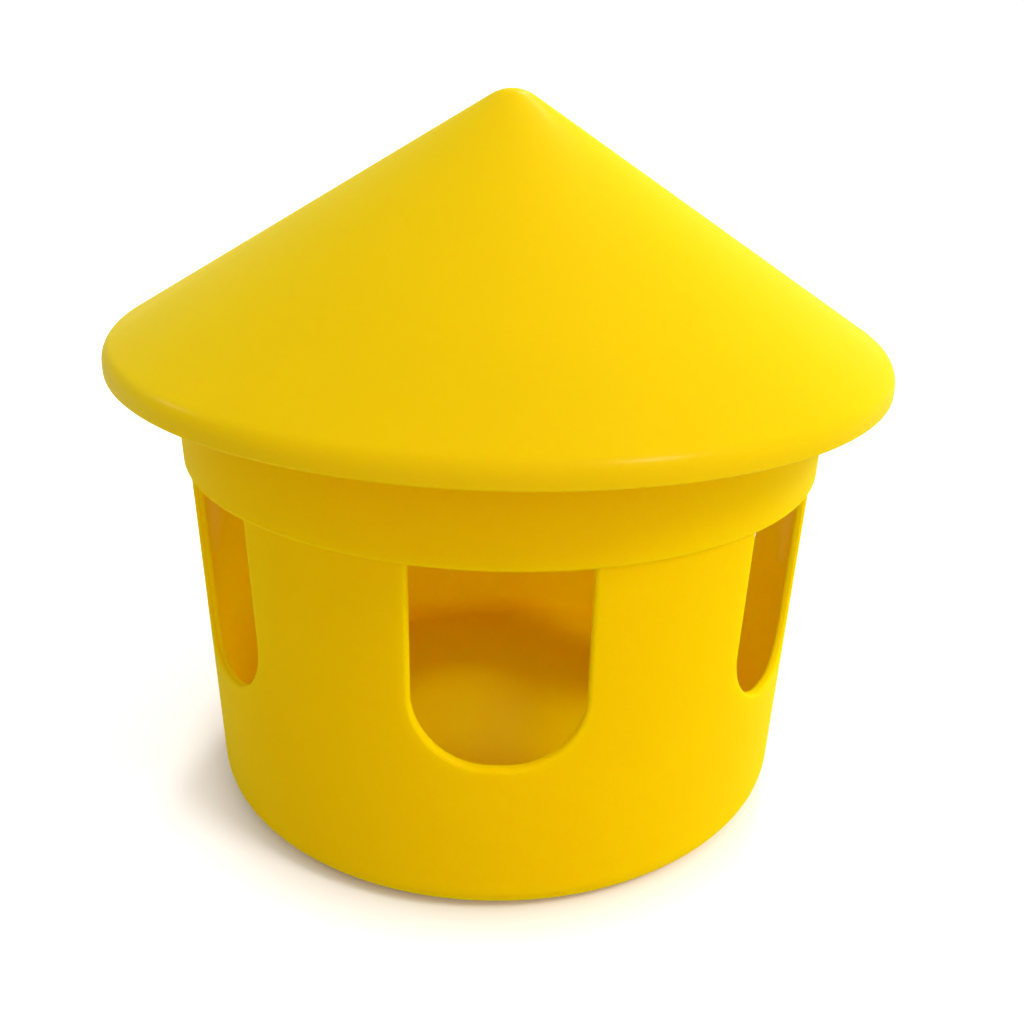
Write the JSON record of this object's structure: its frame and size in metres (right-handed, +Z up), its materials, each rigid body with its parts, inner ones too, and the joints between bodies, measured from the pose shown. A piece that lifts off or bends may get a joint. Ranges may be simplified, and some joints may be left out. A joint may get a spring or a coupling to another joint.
{
  "type": "bird feeding pot",
  "caption": "Round bird feeding pot: a tapered plastic tub with U-shaped feeding windows under a wide band, and a loose, overhanging conical roof that lifts off.",
  "frame": {"origin": "on the ground, at the centre of the base", "axes": "+Z up along the pot's axis; the first feeding window faces -Y"},
  "size_m": [0.1938, 0.1938, 0.1797],
  "materials": {
    "yellow_plastic": "satin, injection moulded"
  },
  "bodies": {
    "pot": {"pot": "yellow_plastic"},
    "lid": {"lid": "yellow_plastic"}
  },
  "joints": [
    {"name": "lid_lift", "type": "slide", "parent": "pot", "child": "lid", "axis": [0, 0, 1], "range_m": [0, 0.08]}
  ]
}
